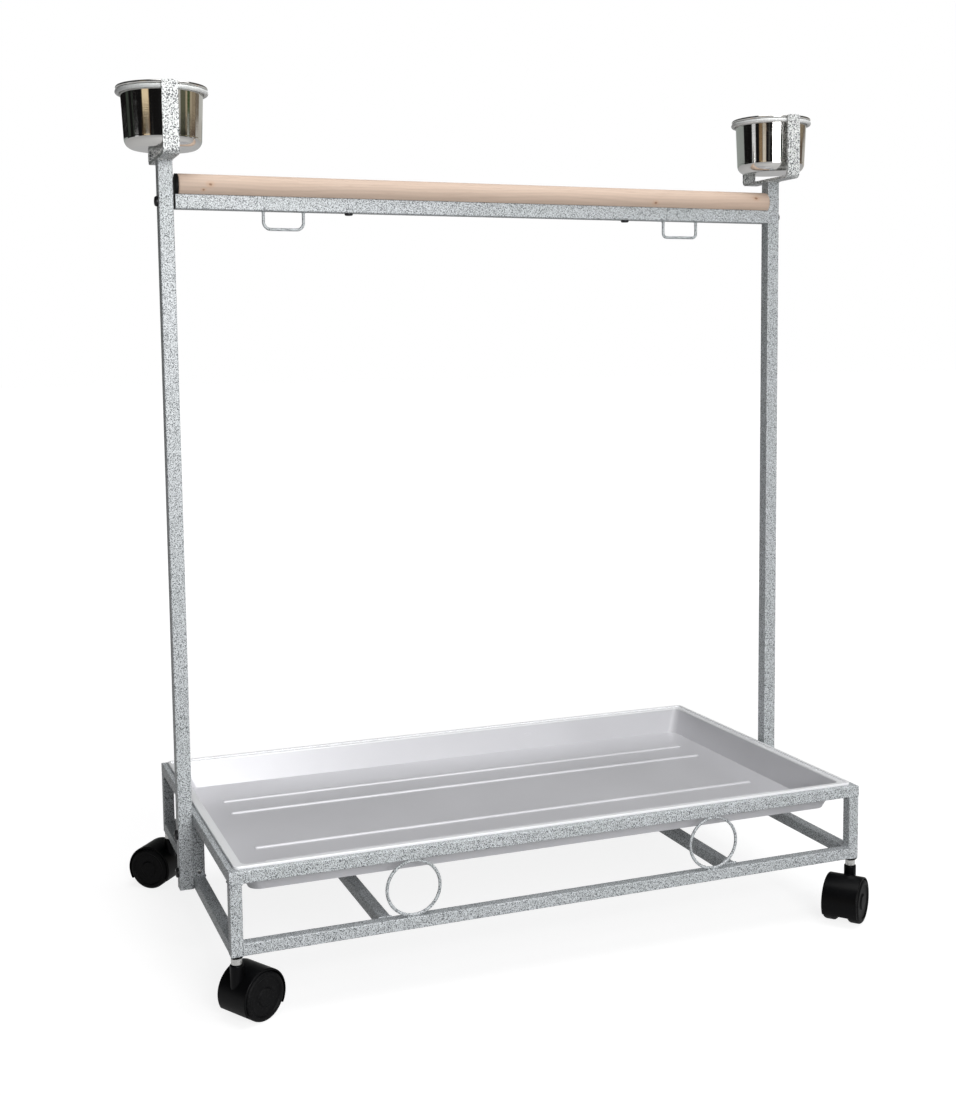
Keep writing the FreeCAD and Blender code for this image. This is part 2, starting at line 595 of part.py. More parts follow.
def caster_hood():
    """Drum-shaped hood over both wheels, with a web between them and a boss that turns on the stem."""
    wheel_out = FORK_THICKNESS / 2 + WHEEL_SIDE_GAP + WHEEL_WIDTH
    half_fork = FORK_THICKNESS / 2
    half_hood = wheel_out - HOOD_SETBACK
    inner = WHEEL_RADIUS + HOOD_GAP
    axle = Vec(CASTER_TRAIL, 0, AXLE_Z)

    def across(radius, half_width):
        return cylinder(radius, axle - Vec(0, half_width, 0), axle + Vec(0, half_width, 0))

    drum = across(HOOD_RADIUS, half_hood)
    drum = drum.makeFillet(HOOD_EDGE_ROUND, [edge for edge in drum.Edges if edge.isClosed()])
    boss = cylinder(BOSS_DIAMETER / 2, Vec(0, 0, AXLE_Z), Vec(0, 0, BOSS_TOP))
    crown = [edge for edge in boss.Edges if edge.isClosed() and edge.CenterOfMass.z > BOSS_TOP - BOSS_RISE]
    boss = boss.makeFillet(BOSS_ROUND, crown)
    wheel_room = across(inner, wheel_out).cut(across(inner + CUT_OVER, half_fork))
    reach = 2 * HOOD_RADIUS + CASTER_TRAIL
    below = box(-reach, reach, -reach, reach, AXLE_Z - reach, AXLE_Z - HOOD_SKIRT)
    hood = drum.fuse(boss).cut(wheel_room).cut(below)
    stem_low = COLLAR_LOW - STEM_GRIP
    stem_bore = cylinder(STEM_DIAMETER / 2 + STEM_PLAY, Vec(0, 0, stem_low - CUT_OVER), Vec(0, 0, BOSS_TOP))
    axle_bore = across(AXLE_DIAMETER / 2 + AXLE_PRESS_PLAY, wheel_out)
    return hood.cut(stem_bore).cut(axle_bore).removeSplitter()


def caster_axle():
    """Pin through the fork, carrying a wheel on each side."""
    middle = Vec(CASTER_TRAIL, 0, AXLE_Z)
    return cylinder(AXLE_DIAMETER / 2, middle - Vec(0, AXLE_REACH, 0), middle + Vec(0, AXLE_REACH, 0))


def caster_wheel(side):
    """Wheel with a rounded tread, a sunk ring in its outer face and a blind bore."""
    w = WHEEL_WIDTH
    r = WHEEL_RADIUS
    e = WHEEL_EDGE_ROUND
    bore = AXLE_DIAMETER / 2 + AXLE_PLAY
    d = WHEEL_FACE_RECESS
    e_mid = e * (1 - math.sqrt(0.5))
    top_arc = [Vec(r, 0, w - e), Vec(r - e_mid, 0, w - e_mid), Vec(r - e, 0, w)]
    low_arc = [Vec(r - e, 0, 0), Vec(r - e_mid, 0, e_mid), Vec(r, 0, e)]
    corners_out = [
        top_arc[2],
        Vec(WHEEL_FACE_OUTER + d, 0, w),
        Vec(WHEEL_FACE_OUTER, 0, w - d),
        Vec(WHEEL_FACE_INNER + d, 0, w - d),
        Vec(WHEEL_FACE_INNER, 0, w),
        Vec(0, 0, w),
        Vec(0, 0, w - WHEEL_WEB),
        Vec(bore, 0, w - WHEEL_WEB),
        Vec(bore, 0, 0),
        low_arc[0],
    ]
    edges = [Part.Arc(*low_arc).toShape(), Part.LineSegment(low_arc[2], top_arc[0]).toShape()]
    edges.append(Part.Arc(*top_arc).toShape())
    for start, end in zip(corners_out, corners_out[1:]):
        edges.append(Part.LineSegment(start, end).toShape())
    wheel = Part.Face(Part.Wire(edges)).revolve(Vec(0, 0, 0), Z_AXIS, 360)
    inner_face = FORK_THICKNESS / 2 + WHEEL_SIDE_GAP
    outward = Vec(0, side, 0)
    wheel.Placement = FreeCAD.Placement(
        Vec(CASTER_TRAIL, side * inner_face, AXLE_Z), FreeCAD.Rotation(Z_AXIS, outward)
    )
    return wheel


def casters(nodes):
    """Four twin-wheel casters, each turned its own way."""
    stems = []
    plugs = []
    for corner in CORNERS:
        place = caster_place(corner)
        pieces = {
            "caster_hood_": caster_hood(),
            "caster_axle_": caster_axle(),
            "caster_wheel_a_": caster_wheel(1),
            "caster_wheel_b_": caster_wheel(-1),
        }
        for name, piece in pieces.items():
            nodes[name + corner] = piece.transformed(place.toMatrix())
        stems.append(caster_stem().translated(place.Base))
        plugs.append(leg_plug(place.Base))
    nodes["caster_stems"] = group(stems)
    nodes["leg_plugs"] = group(plugs)


# ---- the whole stand ------------------------------------------------------------------------------
def build():
    """Every piece by name."""
    nodes = {}
    base_frame(nodes)
    for name, side in SIDES.items():
        nodes["post_" + name] = post(side)
        nodes["rail_insert_" + name] = rail_insert(side)
    post_fasteners(nodes)
    nodes["perch_rail"] = perch_rail()
    perch(nodes)
    nodes["toy_loop_left"] = toy_loop(-LOOP_X, LOOP_BEND_LEFT)
    nodes["toy_loop_right"] = toy_loop(LOOP_X, LOOP_BEND_RIGHT)
    for name, side in SIDES.items():
        nodes["front_ring_" + name] = front_ring(side * RING_X)
        nodes["cup_strap_" + name] = cup_strap(side * POST_X)
        nodes["cup_ring_" + name] = cup_ring(side * POST_X)
        nodes["cup_" + name] = cup(side * POST_X)
    nodes["tray"] = tray()
    casters(nodes)
    return nodes


def main():
    os.makedirs("parts", exist_ok=True)
    lowest = Vec(1e9, 1e9, 1e9)
    highest = Vec(-1e9, -1e9, -1e9)
    for name, shape in sorted(build().items()):
        if not shape.isValid():
            raise RuntimeError(name + " is not a valid solid")
        shape.exportStep("parts/" + name + ".step")
        size = shape.BoundBox
        lowest = Vec(min(lowest.x, size.XMin), min(lowest.y, size.YMin), min(lowest.z, size.ZMin))
        highest = Vec(max(highest.x, size.XMax), max(highest.y, size.YMax), max(highest.z, size.ZMax))
        print("%-28s %2d solids %10.1f mm3" % (name, len(shape.Solids), shape.Volume))
    print("box", lowest, highest)


if __name__ == "__main__":
    main()
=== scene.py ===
"""Parrot play stand: finishes for its tube frame, perch, cups, tray and casters, and the welds."""

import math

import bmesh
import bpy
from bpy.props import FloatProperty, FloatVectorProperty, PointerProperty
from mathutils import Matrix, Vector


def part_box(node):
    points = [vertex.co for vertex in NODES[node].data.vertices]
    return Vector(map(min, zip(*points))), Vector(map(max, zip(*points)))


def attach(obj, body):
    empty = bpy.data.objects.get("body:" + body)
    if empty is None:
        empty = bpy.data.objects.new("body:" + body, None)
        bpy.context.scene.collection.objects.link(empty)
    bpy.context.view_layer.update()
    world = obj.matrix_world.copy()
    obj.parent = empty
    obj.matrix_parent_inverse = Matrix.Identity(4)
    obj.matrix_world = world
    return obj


bl_info = {
    "name": "Parrot play stand",
    "version": (1, 0, 0),
    "blender": (4, 5, 0),
    "location": "3D View > Sidebar > Play stand",
    "description": "Dresses a rolling parrot play stand with its finishes and welds",
    "category": "Add Mesh",
}

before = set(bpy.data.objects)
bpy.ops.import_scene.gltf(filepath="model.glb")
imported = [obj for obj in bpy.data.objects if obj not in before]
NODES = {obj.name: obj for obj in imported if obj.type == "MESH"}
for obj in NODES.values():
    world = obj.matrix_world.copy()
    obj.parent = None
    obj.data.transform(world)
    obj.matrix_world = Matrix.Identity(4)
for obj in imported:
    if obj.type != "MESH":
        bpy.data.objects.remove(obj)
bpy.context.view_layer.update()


# ---- shader arithmetic ----------------------------------------------------------------------------
COLOUR_A, COLOUR_B = 6, 7      # the colour sockets of a Mix node, and the one it gives
COLOUR_RESULT = 2


class Number:
    """A number that comes out of a shader node; arithmetic on it adds Math nodes."""

    def __init__(self, recipe, socket):
        self.recipe = recipe
        self.socket = socket

    def _math(self, operation, *operands):
        return self.recipe.node("Math", {"operation": operation}, dict(enumerate(operands))).number()

    def __add__(self, other):
        return self._math("ADD", self, other)

    def __sub__(self, other):
        return self._math("SUBTRACT", self, other)

    def __rsub__(self, other):
        return self._math("SUBTRACT", other, self)

    def __mul__(self, other):
        return self._math("MULTIPLY", self, other)

    __radd__ = __add__
    __rmul__ = __mul__

    def sine(self):
        return self._math("SINE", self)

    def size(self):
        """The number without its sign."""
        return self._math("ABSOLUTE", self)

    def root(self):
        return self._math("SQRT", self)

    def least(self, other):
        return self._math("MINIMUM", self, other)

    def most(self, other):
        return self._math("MAXIMUM", self, other)

    def ramp(self, low, high):
        """0 at low, 1 at high, smooth between."""
        settings = {"interpolation_type": "SMOOTHSTEP"}
        inputs = {"Value": self, "From Min": low, "From Max": high, "To Min": 0.0, "To Max": 1.0}
        return self.recipe.node("MapRange", settings, inputs).number("Result")


class Made:
    """A node that a recipe has made."""

    def __init__(self, recipe, node):
        self.recipe = recipe
        self.node = node

    def number(self, name=0):
        return Number(self.recipe, self.node.outputs[name])

    def out(self, name=0):
        return self.node.outputs[name]


class Recipe:
    """The node tree of one material or of the world."""

    def __init__(self, tree):
        self.tree = tree
        tree.nodes.clear()

    def node(self, kind, settings=None, inputs=None):
        """Adds a node, gives it its settings, then links or fills its sockets."""
        made = self.tree.nodes.new("ShaderNode" + kind)
        for name, value in (settings or {}).items():
            setattr(made, name, value)
        for name, value in (inputs or {}).items():
            socket = made.inputs[name]
            if isinstance(value, Number):
                value = value.socket
            if isinstance(value, bpy.types.NodeSocket):
                self.tree.links.new(value, socket)
            else:
                socket.default_value = value
        return Made(self, made)

    def place(self):
        """Object coordinates."""
        return self.node("TexCoord").out("Object")

    def stretched(self, scale, turn=(0.0, 0.0, 0.0), vector=None):
        """Coordinates turned and scaled, so that a scale under 1 draws a pattern out."""
        inputs = {"Vector": vector or self.place(), "Scale": scale, "Rotation": turn}
        return self.node("Mapping", {}, inputs).out()

    def leaning(self, turn, length):
        """Coordinates in which things are drawn out by a length along a leaning line."""
        inputs = {"Vector": self.place(), "Scale": (1.0, 1.0, length), "Rotation": turn}
        return self.node("Mapping", {"vector_type": "TEXTURE"}, inputs).out()

    def noise(self, scale, detail=2.0, roughness=0.5, distortion=0.0, vector=None):
        inputs = {
            "Vector": vector or self.place(),
            "Scale": scale,
            "Detail": detail,
            "Roughness": roughness,
            "Distortion": distortion,
        }
        return self.node("TexNoise", {}, inputs).number()

    def axis(self, letter, vector=None):
        """One coordinate of a vector."""
        split = self.node("SeparateXYZ", {}, {"Vector": vector or self.place()})
        return split.number(letter)

    def mix(self, factor, first, second):
        """Colour between two colours."""
        inputs = {"Factor": factor, COLOUR_A: first, COLOUR_B: second}
        return self.node("Mix", {"data_type": "RGBA"}, inputs).out(COLOUR_RESULT)

    def bump(self, height, distance, strength):
        inputs = {"Height": height, "Distance": distance, "Strength": strength}
        return self.node("Bump", {}, inputs).out()

    def surface(self, **inputs):
        """Principled shader into the output."""
        names = {name.replace("_", " "): value for name, value in inputs.items()}
        shader = self.node("BsdfPrincipled", {}, names)
        self.node("OutputMaterial", {}, {"Surface": shader.out()})


def new_material(name):
    material = bpy.data.materials.new(name)
    material.use_nodes = True
    return material, Recipe(material.node_tree)


def rgb(colour):
    return (colour[0], colour[1], colour[2], 1.0)


def shade(colour, amount):
    return (colour[0] * amount, colour[1] * amount, colour[2] * amount, 1.0)


# ---- finishes -------------------------------------------------------------------------------------
# Painted shade: the dark colour of the dashes between the hammered paint's dimples.
DASH_SHADE_COLOUR = (0.045, 0.052, 0.060, 1.0)
# Painted highlight: near-white colour along the top of the tray's rim.
RIM_HIGHLIGHT_COLOUR = (0.95, 0.96, 0.97, 1.0)
RIM_HIGHLIGHT_FADE = 0.0030, 0.0018      # where the tray's painted rim highlight starts and is full, below its top
PITH = 0.021, 0.034            # middle of the growth rings: in front of the perch's middle, below its top
RING_WAVE = 1900.0             # radians of growth ring to a metre
BEND_ACROSS = 0.012            # how far the rings wander across and up along the perch
BEND_UPWARD = 0.010
KNOT_LENGTH = 0.72             # a knot's width as a share of its length along the perch


def hammered_paint(name, colour, cell, dash_shade_strength):
    """Silver hammer-finish powder coat: bright dimples with short dark dashes of painted shade between them.
    """
    material, r = new_material(name)
    one_way = r.noise(1.0 / cell, 1.0, 0.5, vector=r.leaning((0.55, 0.50, 0.0), 1.9))
    other_way = r.noise(1.0 / cell, 1.0, 0.5, vector=r.leaning((-0.60, -0.25, 0.4), 1.7))
    # Painted shade: short dark dashes stand in for the shade between the dimples, and they also dent the bump
    # height.
    dash_shade = 1.0 - one_way.least(other_way + 0.01).ramp(0.37, 0.44)
    mottle = r.noise(0.55 / cell, 2.0, 0.6)
    broad = r.noise(11.0, 2.0).ramp(0.35, 0.70)
    body = r.mix(mottle.ramp(0.32, 0.68), shade(colour, 0.84), shade(colour, 1.10))
    body = r.mix(broad * 0.22, body, (0.52, 0.58, 0.56, 1.0))
    # Painted shade of the dashes mixed into the paint's colour.
    body = r.mix(dash_shade * dash_shade_strength, body, DASH_SHADE_COLOUR)
    height = mottle * 0.6 - dash_shade * 0.8
    r.surface(
        Base_Color=body,
        Metallic=0.12,
        Coat_Weight=0.12,
        Coat_Roughness=0.22,
        Roughness=0.40 + 0.14 * mottle,
        Normal=r.bump(height, cell * 0.12, 0.7),
    )
    return material


def tray_finish(colour):
    """Smooth silver coat on sheet metal, with faint rolling lines, a few scuffs and a painted highlight along
    the top of its rim.
    """
    material, r = new_material("tray_silver")
    rolled = r.noise(90.0, 3.0, 0.6, vector=r.stretched((0.05, 1.0, 1.0)))
    cloud = r.noise(7.0, 3.0, 0.5)
    scuff = r.noise(260.0, 2.0, 0.7, 0.4, vector=r.stretched((0.25, 1.0, 1.0), (0.0, 0.0, 0.5)))
    scuffs = scuff.ramp(0.66, 0.74) * cloud.ramp(0.5, 0.7)
    body = r.mix(cloud.ramp(0.3, 0.7) * 0.5, shade(colour, 0.94), shade(colour, 1.06))
    body = r.mix(scuffs * 0.35, body, (0.80, 0.81, 0.83, 1.0))
    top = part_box("tray")[1].z
    starts, full = RIM_HIGHLIGHT_FADE
    # Painted highlight: the top few millimetres of the tray, its rim, turn near-white.
    rim_highlight = r.axis("Z").ramp(top - starts, top - full)
    body = r.mix(rim_highlight * 0.85, body, RIM_HIGHLIGHT_COLOUR)
    r.surface(
        Base_Color=body,
        Metallic=0.12,
        Coat_Weight=0.35,
        Coat_Roughness=0.18,
        Roughness=0.32 + 0.10 * cloud + 0.10 * scuffs,
        Normal=r.bump(rolled * 0.5 + cloud * 1.2, 0.0004, 0.35),
    )
    return material


def mirror_steel():
    """Polished stainless steel with faint spinning lines and handling marks."""
    material, r = new_material("cup_mirror_steel")
    lines = r.noise(1400.0, 2.0, 0.6, vector=r.stretched((0.02, 0.02, 1.0)))
    smudge = r.noise(38.0, 4.0, 0.6, 0.6)
    marks = smudge.ramp(0.52, 0.72)
    r.surface(
        Base_Color=r.mix(marks * 0.5, (0.72, 0.71, 0.69, 1.0), (0.62, 0.61, 0.59, 1.0)),
        Metallic=1.0,
        Roughness=0.045 + 0.07 * marks + 0.03 * lines,
        Normal=r.bump(lines, 0.00002, 0.25),
    )
    return material


# Knots in the perch: place along X, turn upward round the dowel from the front, radius.
KNOTS = (
    (-0.313, 3.0, 0.0019),
    (-0.320, -24.0, 0.0012),
    (0.198, -22.0, 0.0018),
    (0.285, 76.0, 0.0022),
    (0.331, 21.0, 0.0019),
    (-0.06, 120.0, 0.0022),
    (0.09, 165.0, 0.0018),
)


def knot_place(along, turn):
    """A point on the surface of the perch."""
    low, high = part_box("perch_dowel")
    radius = (high.y - low.y) / 2
    angle = math.radians(turn)
    return Vector((along, -radius * math.cos(angle), high.z - radius + radius * math.sin(angle)))


def perch_wood(colour):
    """Bare sanded softwood: long grain, soft growth bands, small knots and darker pores."""
    material, r = new_material("perch_wood")
    place = r.place()
    bend = r.noise(9.0, 2.0, 0.5, vector=r.stretched((0.5, 1.0, 1.0)))
    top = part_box("perch_dowel")[1].z
    forward, below = PITH
    across = r.axis("Y") + forward + bend * BEND_ACROSS
    upward = r.axis("Z") - top + below + bend * BEND_UPWARD
    rings = ((across * across + upward * upward).root() * RING_WAVE).sine()
    bands = rings.ramp(-0.9, 0.95)
    fibre = r.noise(900.0, 3.0, 0.7, vector=r.stretched((0.018, 1.0, 1.0)))
    pores = r.noise(1500.0, 2.0, 0.6, vector=r.stretched((0.03, 1.0, 1.0))).ramp(0.60, 0.72)
    patch = r.noise(16.0, 3.0, 0.55, vector=r.stretched((0.3, 1.0, 1.0)))
    body = r.mix(bands * 0.45, shade(colour, 1.03), shade(colour, 0.90))
    body = r.mix(fibre.ramp(0.35, 0.75) * 0.30, body, shade(colour, 0.84))
    body = r.mix(patch.ramp(0.45, 0.75) * 0.40, body, (0.64, 0.47, 0.36, 1.0))
    body = r.mix(pores * 0.18, body, (0.36, 0.22, 0.14, 1.0))
    wobble = r.noise(260.0, 2.0, 0.5)
    hollow = None
    for along, turn, radius in KNOTS:
        point = knot_place(along, turn)
        drawn_out = r.stretched((KNOT_LENGTH, 1.0, 1.0), vector=place)
        centre = (point.x * KNOT_LENGTH, point.y, point.z)
        away = r.node("VectorMath", {"operation": "DISTANCE"}, {0: drawn_out, 1: centre}).number("Value")
        gap = away + (wobble - 0.5) * radius * 0.9
        core = 1.0 - gap.ramp(radius * 0.35, radius * 0.95)
        halo = 1.0 - gap.ramp(radius * 0.9, radius * 2.6)
        body = r.mix(halo * 0.40, body, (0.58, 0.36, 0.22, 1.0))
        body = r.mix(core * 0.85, body, (0.26, 0.13, 0.07, 1.0))
        hollow = core if hollow is None else hollow.most(core)
    height = fibre * 0.6 + bands * 0.35 - pores * 0.5 - hollow * 0.9
    r.surface(
        Base_Color=body,
        Roughness=0.62 + 0.12 * fibre,
        Normal=r.bump(height, 0.00035, 0.6),
    )
    return material


def black_plastic(name, colour, roughness, grain):
    """Moulded black nylon: fine grain, a little dust and pale scuffs."""
    material, r = new_material(name)
    speck = r.noise(1.0 / grain, 2.0, 0.6)
    dust = r.noise(45.0, 4.0, 0.6)
    scuff = r.noise(420.0, 2.0, 0.7, 0.5).ramp(0.66, 0.80) * dust.ramp(0.45, 0.7)
    body = r.mix(dust.ramp(0.45, 0.8) * 0.25, rgb(colour), shade(colour, 2.0))
    body = r.mix(scuff * 0.25, body, (0.10, 0.10, 0.10, 1.0))
    r.surface(
        Base_Color=body,
        Specular_IOR_Level=0.11,
        Roughness=roughness + 0.14 * dust + 0.10 * scuff,
        Normal=r.bump(speck, grain * 0.10, 0.5),
    )
    return material


def rolled_tread(colour):
    """Wheel plastic: black nylon with patches of grey dust and rubbed wear."""
    material, r = new_material("wheel_plastic")
    speck = r.noise(2600.0, 2.0, 0.6)
    dust = r.noise(70.0, 4.0, 0.65)
    wear = r.noise(520.0, 3.0, 0.7, 0.3).ramp(0.48, 0.72)
    body = r.mix(dust.ramp(0.40, 0.75) * 0.25, rgb(colour), shade(colour, 2.2))
    body = r.mix(wear * 0.12, body, (0.07, 0.07, 0.069, 1.0))
    r.surface(
        Base_Color=body,
        Specular_IOR_Level=0.11,
        Roughness=0.42 + 0.20 * dust,
        Normal=r.bump(speck * 0.5 + wear, 0.00008, 0.5),
    )
    return material


def black_steel():
    """Black oxide fasteners with rubbed patches."""
    material, r = new_material("black_oxide")
    rub = r.noise(900.0, 3.0, 0.65).ramp(0.58, 0.74)
    r.surface(
        Base_Color=r.mix(rub * 0.35, (0.018, 0.018, 0.02, 1.0), (0.12, 0.12, 0.125, 1.0)),
        Metallic=0.55,
        Roughness=0.34 + 0.12 * rub,
        Normal=r.bump(rub, 0.00005, 0.4),
    )
    return material


def bright_zinc():
    """Zinc plate on the caster stems, axles and nuts."""
    material, r = new_material("bright_zinc")
    cloud = r.noise(320.0, 3.0, 0.6)
    r.surface(
        Base_Color=r.mix(cloud.ramp(0.35, 0.7), (0.62, 0.62, 0.60, 1.0), (0.74, 0.74, 0.73, 1.0)),
        Metallic=0.95,
        Roughness=0.20 + 0.14 * cloud,
        Normal=r.bump(cloud, 0.00005, 0.3),
    )
    return material


# ---- shared mesh work -----------------------------------------------------------------------------
def nodes_named(*starts):
    return [name for name in sorted(NODES) if name.startswith(starts)]


def dress(material, names):
    """Gives CAD nodes their finish."""
    for name in names:
        for slot in NODES[name].material_slots:
            slot.material = material


def add_piece(name, mesh, material, body):
    """Turns a bmesh into a finished piece that rides on a body."""
    bmesh.ops.recalc_face_normals(mesh, faces=mesh.faces)
    data = bpy.data.meshes.new(name)
    for face in mesh.faces:
        face.smooth = True
    mesh.to_mesh(data)
    mesh.free()
    data.materials.append(material)
    piece = bpy.data.objects.new(name, data)
    bpy.context.scene.collection.objects.link(piece)
    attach(piece, body)
    return piece


BEAD_PITCH = 0.85         # from one ripple to the next, as a share of the bead's radius
BEAD_LENGTH = 0.75        # half the length of a ripple, the same way
BEAD_SWELL = 0.10         # how much the ripples differ
SWELL_STEP = 2.4          # radians of swell from one ripple to the next
SWELL_SHIFT = 11.0        # and to a metre along X, so that no two beads are alike


def weld_bead(mesh, points, radius):
    """A row of overlapping ripples along a line of points."""
    pitch = radius * BEAD_PITCH
    for start, end in zip(points, points[1:]):
        run = end - start
        count = max(1, round(run.length / pitch))
        turn = run.to_track_quat("X", "Z").to_matrix().to_4x4()
        for step in range(count + 1):
            swell = 1.0 + BEAD_SWELL * math.sin(SWELL_STEP * step + SWELL_SHIFT * start.x)
            size = Matrix.Diagonal((radius * BEAD_LENGTH, radius * swell, radius * swell, 1.0))
            place = Matrix.Translation(start + run * (step / count)) @ turn @ size
            bmesh.ops.create_icosphere(mesh, subdivisions=2, radius=1.0, matrix=place)


def level_ring(centre, radius, steps):
    """Points once round a level circle."""
    points = []
    for step in range(steps + 1):
        angle = math.radians(360 * step / steps)
        points.append(centre + Vector((radius * math.cos(angle), radius * math.sin(angle), 0)))
    return points


# ---- settings -------------------------------------------------------------------------------------
class StandFinish(bpy.types.PropertyGroup):
    """Colours and grain of the stand's finishes."""

    paint: FloatVectorProperty(
        name="Paint", description="Silver of the hammered powder coat", subtype="COLOR", size=3,
        default=(0.665, 0.695, 0.715),
    )
    paint_grain: FloatProperty(
        name="Paint grain", description="Size of one dimple of the paint", unit="LENGTH",
        default=0.00085,
    )
    holder: FloatVectorProperty(
        name="Holder paint", description="Silver of the cup straps and rings", subtype="COLOR", size=3,
        default=(0.90, 0.91, 0.90),
    )
    holder_grain: FloatProperty(
        name="Holder grain", description="Size of one dimple on the cup straps", unit="LENGTH",
        default=0.00115,
    )
    tray: FloatVectorProperty(
        name="Tray", description="Silver of the smooth tray", subtype="COLOR", size=3,
        default=(0.655, 0.655, 0.68),
    )
    wood: FloatVectorProperty(
        name="Wood", description="Colour of the bare perch", subtype="COLOR", size=3,
        default=(0.61, 0.47, 0.375),
    )
    plastic: FloatVectorProperty(
        name="Plastic", description="Black of the casters and plugs", subtype="COLOR", size=3,
        default=(0.0025, 0.0026, 0.003),
    )


class StandTrim(bpy.types.PropertyGroup):
    """Sizes of the welds."""

    weld: FloatProperty(
        name="Weld", description="Radius of a weld at a ring or strap", unit="LENGTH",
        default=0.0016,
    )
    frame_weld: FloatProperty(
        name="Frame weld", description="Radius of a weld between tubes", unit="LENGTH",
        default=0.0011,
    )


class StandView(bpy.types.PropertyGroup):
    """Camera and studio."""

    place: FloatVectorProperty(
        name="Camera place", description="Where the camera stands", unit="LENGTH", size=3,
        default=(-0.6015, -1.5103, 0.6288),
    )
    heading: FloatProperty(
        name="Heading", description="Turn to the right of +Y", subtype="ANGLE",
        default=math.radians(21.06),
    )
    tilt: FloatProperty(
        name="Tilt", description="Tilt upward", subtype="ANGLE",
        default=math.radians(-5.40),
    )
    roll: FloatProperty(
        name="Roll", description="Roll about the view", subtype="ANGLE",
        default=math.radians(-0.64),
    )
    lens: FloatProperty(name="Lens", description="Focal length in millimetres", default=47.66)
    rise: FloatProperty(name="Lens rise", description="Vertical shift of the lens", default=-0.053)
    backdrop: FloatVectorProperty(
        name="Backdrop", description="Colour of floor and backdrop", subtype="COLOR", size=3,
        default=(1.0, 1.0, 1.0),
    )


# ---- operators ------------------------------------------------------------------------------------
RING_WELD_SHARE = 0.10        # half the length of a weld on a front ring, as a share of the ring's width
LOOP_WELD_SHARE = 0.7         # a bead round a toy loop's end, as a share of the usual one
LOOP_WELD_STEPS = 8
SIDE_BEAD_SHARE = 0.9         # an upright bead on a tube's end, the same way
HOLDER_BEAD_SHARE = 0.8       # a bead between a cup ring and its strap, the same way
BEAD_SINK = 0.25              # how far a ring's bead sinks into the ring, as a share of its radius
STRAP_WELD_SHARE = 0.42       # half the length of a strap's weld, as a share of the strap's width
RING_BEAD_INWARD = 0.4        # how far in a cup ring's beads lie, as a share of its wire's radius
RING_BEAD_APART = 0.8         # and how far above and below its middle


class STAND_OT_frame(bpy.types.Operator):
    """Paints the base frame and posts and adds the welds between their tubes"""

    bl_idname = "stand.frame"
    bl_label = "Frame and posts"

    def execute(self, context):
        finish = context.scene.stand_finish
        trim = context.scene.stand_trim
        paint = hammered_paint("frame_paint", finish.paint, finish.paint_grain, 0.90)
        painted = nodes_named(
            "base_leg", "bottom_rail", "top_rail", "post_strut", "cross_member",
            "post_left", "post_right", "perch_rail", "toy_loop", "front_ring",
        )
        dress(paint, painted)
        add_piece("frame_welds", self.tube_welds(trim.frame_weld), paint, "base")
        add_piece("wire_welds", self.wire_welds(trim.weld), paint, "base")
        return {"FINISHED"}

    def tube_welds(self, radius):
        """Beads where the frame's tubes meet."""
        mesh = bmesh.new()
        for name in nodes_named("cross_member"):
            self.weld_tube_end(mesh, name, radius)
        for name in nodes_named("post_strut"):
            low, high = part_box(name)
            inward = low.x if name.endswith("right") else high.x
            for z in (low.z, high.z):
                weld_bead(mesh, [Vector((inward, low.y, z)), Vector((inward, high.y, z))], radius)
        for name in nodes_named("base_leg"):
            self.weld_leg(mesh, name, radius)
        return mesh

    def wire_welds(self, radius):
        """Beads where the front rings meet their rails and the toy loops meet the perch rail."""
        mesh = bmesh.new()
        for name in nodes_named("front_ring"):
            low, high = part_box(name)
            centre = (low + high) / 2
            half = (high.x - low.x) * RING_WELD_SHARE
            for z, inward in ((low.z, 1), (high.z, -1)):
                at = z + inward * radius * BEAD_SINK
                ends = [Vector((centre.x - half, centre.y, at)), Vector((centre.x + half, centre.y, at))]
                weld_bead(mesh, ends, radius)
        for name in nodes_named("toy_loop"):
            low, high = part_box(name)
            wire = (high.y - low.y) / 2
            for x in (low.x + wire, high.x - wire):
                points = level_ring(Vector((x, 0, high.z)), wire, LOOP_WELD_STEPS)
                weld_bead(mesh, points, radius * LOOP_WELD_SHARE)
        return mesh

    def weld_tube_end(self, mesh, name, radius):
        """Beads round both ends of a tube along Y, without its underside."""
        low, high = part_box(name)
        for y in (low.y, high.y):
            weld_bead(mesh, [Vector((low.x, y, high.z)), Vector((high.x, y, high.z))], radius)
            for x in (low.x, high.x):
                weld_bead(mesh, [Vector((x, y, low.z)), Vector((x, y, high.z))], radius * SIDE_BEAD_SHARE)

    def weld_leg(self, mesh, name, radius):
        """Beads in the inside corners of a leg, where the rails meet it."""
        low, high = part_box(name)
        rail_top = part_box("bottom_rail_front")[1].z
        inner_x = high.x if low.x < 0 else low.x
        inner_y = high.y if low.y < 0 else low.y
        for z in (rail_top, high.z):
            weld_bead(mesh, [Vector((inner_x, low.y, z)), Vector((inner_x, high.y, z))], radius)
            weld_bead(mesh, [Vector((low.x, inner_y, z)), Vector((high.x, inner_y, z))], radius)


class STAND_OT_perch(bpy.types.Operator):
    """Gives the perch its wood, and the plugs, cap and black fasteners their finish"""

    bl_idname = "stand.perch"
    bl_label = "Perch and fasteners"

    def execute(self, context):
        finish = context.scene.stand_finish
        dress(perch_wood(finish.wood), ["perch_dowel"])
        plastic = black_plastic("plug_plastic", finish.plastic, 0.42, 0.0005)
        dress(plastic, nodes_named("rail_insert", "perch_end_cap", "leg_plugs"))
        oxide = black_steel()
        dress(oxide, nodes_named("post_bolts", "perch_screws"))
        dress(bright_zinc(), nodes_named("frame_nuts", "caster_stems", "caster_axle"))
        return {"FINISHED"}


